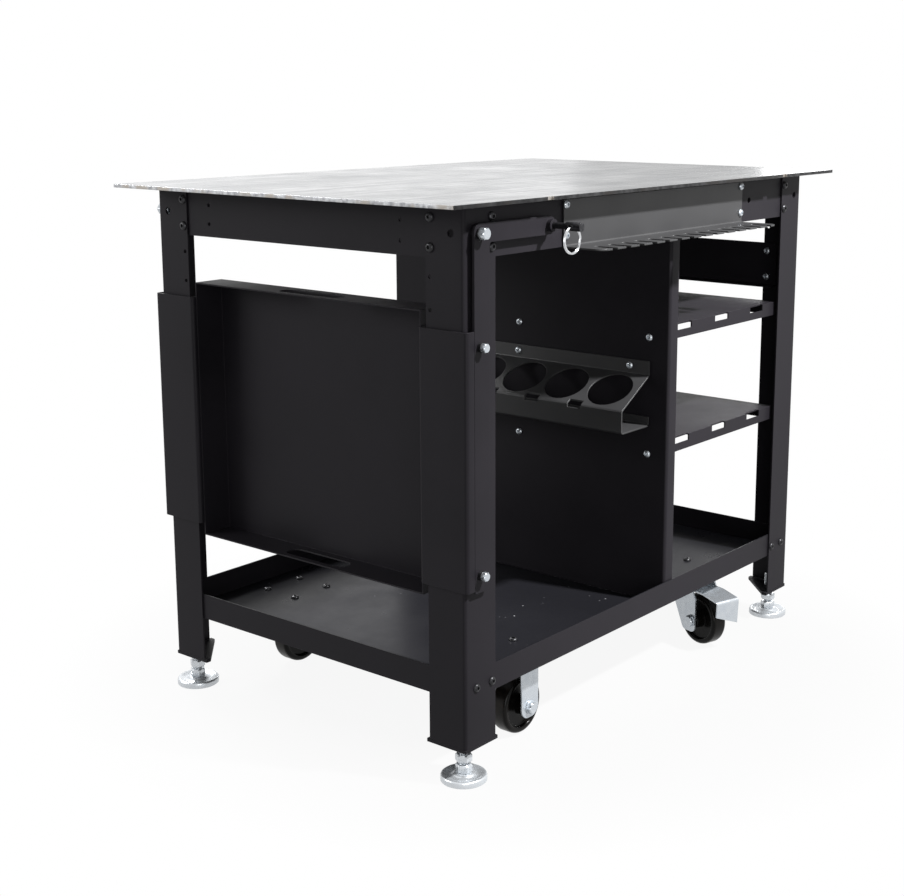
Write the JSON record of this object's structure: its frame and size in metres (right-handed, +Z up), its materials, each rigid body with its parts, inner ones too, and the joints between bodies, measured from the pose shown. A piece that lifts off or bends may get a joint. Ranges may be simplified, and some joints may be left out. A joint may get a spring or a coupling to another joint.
{
  "type": "welding cart",
  "caption": "Welding cart with a flat steel top on angle legs with levelling feet, a bottom pan on casters, shelves, a bottle holder, a comb tool rack and a folding side tray.",
  "frame": {"origin": "bottom centre of the bounding box: on the floor under the middle of the table top", "axes": "+Z up, +X along the length towards the swivel casters (the folding tray is at -X), -Y towards the long side with the tool rack"},
  "size_m": [1.166, 0.835, 0.914],
  "materials": {
    "bare_steel": "bare hot-rolled plate, lightly polished",
    "black_paint": "satin black powder coat",
    "zinc_plate": "bright zinc plate",
    "phenolic": "moulded phenolic",
    "black_oxide": "black oxide",
    "chrome_wire": "bright plated wire"
  },
  "bodies": {
    "frame": {"top_plate": "bare_steel", "leg_front_left": "black_paint", "leg_front_right": "black_paint", "leg_rear_left": "black_paint", "leg_rear_right": "black_paint", "apron_front": "black_paint", "apron_rear": "black_paint", "apron_left": "black_paint", "apron_right": "black_paint", "base_pan": "black_paint", "divider_panel": "black_paint", "upper_shelf": "black_paint", "lower_shelf": "black_paint", "end_panel": "black_paint", "tool_rack": "black_paint", "bottle_holder": "black_paint", "foot_plate_front_left": "black_paint", "foot_plate_front_right": "black_paint", "foot_plate_rear_left": "black_paint", "foot_plate_rear_right": "black_paint", "rigid_fork_front": "zinc_plate", "axle_left_front": "zinc_plate", "swivel_plate_front": "zinc_plate", "pivot_bolt_front": "zinc_plate", "rigid_fork_rear": "zinc_plate", "axle_left_rear": "zinc_plate", "swivel_plate_rear": "zinc_plate", "pivot_bolt_rear": "zinc_plate"},
    "foot_front_left": {"foot_stud_front_left": "zinc_plate", "foot_pad_front_left": "zinc_plate", "jam_nut_front_left": "zinc_plate"},
    "foot_front_right": {"foot_stud_front_right": "zinc_plate", "foot_pad_front_right": "zinc_plate", "jam_nut_front_right": "zinc_plate"},
    "foot_rear_left": {"foot_stud_rear_left": "zinc_plate", "foot_pad_rear_left": "zinc_plate", "jam_nut_rear_left": "zinc_plate"},
    "foot_rear_right": {"foot_stud_rear_right": "zinc_plate", "foot_pad_rear_right": "zinc_plate", "jam_nut_rear_right": "zinc_plate"},
    "wheel_left_front": {"wheel_left_front": "phenolic"},
    "wheel_left_rear": {"wheel_left_rear": "phenolic"},
    "swivel_front": {"swivel_fork_front": "zinc_plate", "axle_right_front": "zinc_plate"},
    "wheel_right_front": {"wheel_right_front": "phenolic"},
    "pedal_front": {"brake_pedal_front": "zinc_plate"},
    "swivel_rear": {"swivel_fork_rear": "zinc_plate", "axle_right_rear": "zinc_plate"},
    "wheel_right_rear": {"wheel_right_rear": "phenolic"},
    "pedal_rear": {"brake_pedal_rear": "zinc_plate"},
    "wing": {"wing_tray": "black_paint", "wing_bracket_front": "black_paint", "wing_arm_front": "black_paint", "wing_bracket_rear": "black_paint", "wing_arm_rear": "black_paint"},
    "pin_front": {"lock_pin_front": "black_oxide"},
    "ring_front": {"pull_ring_front": "chrome_wire"},
    "pin_rear": {"lock_pin_rear": "black_oxide"},
    "ring_rear": {"pull_ring_rear": "chrome_wire"}
  },
  "joints": [
    {"name": "foot_level_front_left", "type": "slide", "parent": "frame", "child": "foot_front_left", "axis": [0, 0, 1], "range_m": [-0.015, 0.012]},
    {"name": "foot_level_front_right", "type": "slide", "parent": "frame", "child": "foot_front_right", "axis": [0, 0, 1], "range_m": [-0.015, 0.012]},
    {"name": "foot_level_rear_left", "type": "slide", "parent": "frame", "child": "foot_rear_left", "axis": [0, 0, 1], "range_m": [-0.015, 0.012]},
    {"name": "foot_level_rear_right", "type": "slide", "parent": "frame", "child": "foot_rear_right", "axis": [0, 0, 1], "range_m": [-0.015, 0.012]},
    {"name": "wheel_spin_left_front", "type": "hinge", "parent": "frame", "child": "wheel_left_front", "pos_m": [-0.3, -0.272, 0.0525], "axis": [0, 1, 0], "continuous": true},
    {"name": "wheel_spin_left_rear", "type": "hinge", "parent": "frame", "child": "wheel_left_rear", "pos_m": [-0.3, 0.254, 0.0525], "axis": [0, 1, 0], "continuous": true},
    {"name": "swivel_turn_front", "type": "hinge", "parent": "frame", "child": "swivel_front", "pos_m": [0.269, -0.27, 0.127], "axis": [0, 0, 1], "continuous": true},
    {"name": "wheel_spin_right_front", "type": "hinge", "parent": "swivel_front", "child": "wheel_right_front", "pos_m": [0.25877, -0.30347, 0.0525], "axis": [0.9563, -0.2924, 0], "continuous": true},
    {"name": "brake_press_front", "type": "hinge", "parent": "swivel_front", "child": "pedal_front", "pos_m": [0.26198, -0.29295, 0.1127], "axis": [0.9563, -0.2924, 0], "range_deg": [0, 12]},
    {"name": "swivel_turn_rear", "type": "hinge", "parent": "frame", "child": "swivel_rear", "pos_m": [0.269, 0.27, 0.127], "axis": [0, 0, 1], "continuous": true},
    {"name": "wheel_spin_right_rear", "type": "hinge", "parent": "swivel_rear", "child": "wheel_right_rear", "pos_m": [0.25877, 0.30347, 0.0525], "axis": [0.9563, 0.2924, 0], "continuous": true},
    {"name": "brake_press_rear", "type": "hinge", "parent": "swivel_rear", "child": "pedal_rear", "pos_m": [0.26198, 0.29295, 0.1127], "axis": [-0.9563, -0.2924, 0], "range_deg": [0, 12]},
    {"name": "wing_fold", "type": "hinge", "parent": "frame", "child": "wing", "pos_m": [-0.493, 0, 0.867], "axis": [0, 1, 0], "range_deg": [0, 90]},
    {"name": "pin_push_front", "type": "slide", "parent": "wing", "child": "pin_front", "axis": [0, 1, 0], "range_m": [0, 0.018]},
    {"name": "ring_swing_front", "type": "hinge", "parent": "pin_front", "child": "ring_front", "pos_m": [-0.3216, -0.397, 0.866], "axis": [1, 0, 0], "range_deg": [-90, 55]},
    {"name": "pin_push_rear", "type": "slide", "parent": "wing", "child": "pin_rear", "axis": [0, -1, 0], "range_m": [0, 0.018]},
    {"name": "ring_swing_rear", "type": "hinge", "parent": "pin_rear", "child": "ring_rear", "pos_m": [-0.3216, 0.397, 0.866], "axis": [-1, 0, 0], "range_deg": [-90, 55]}
  ]
}
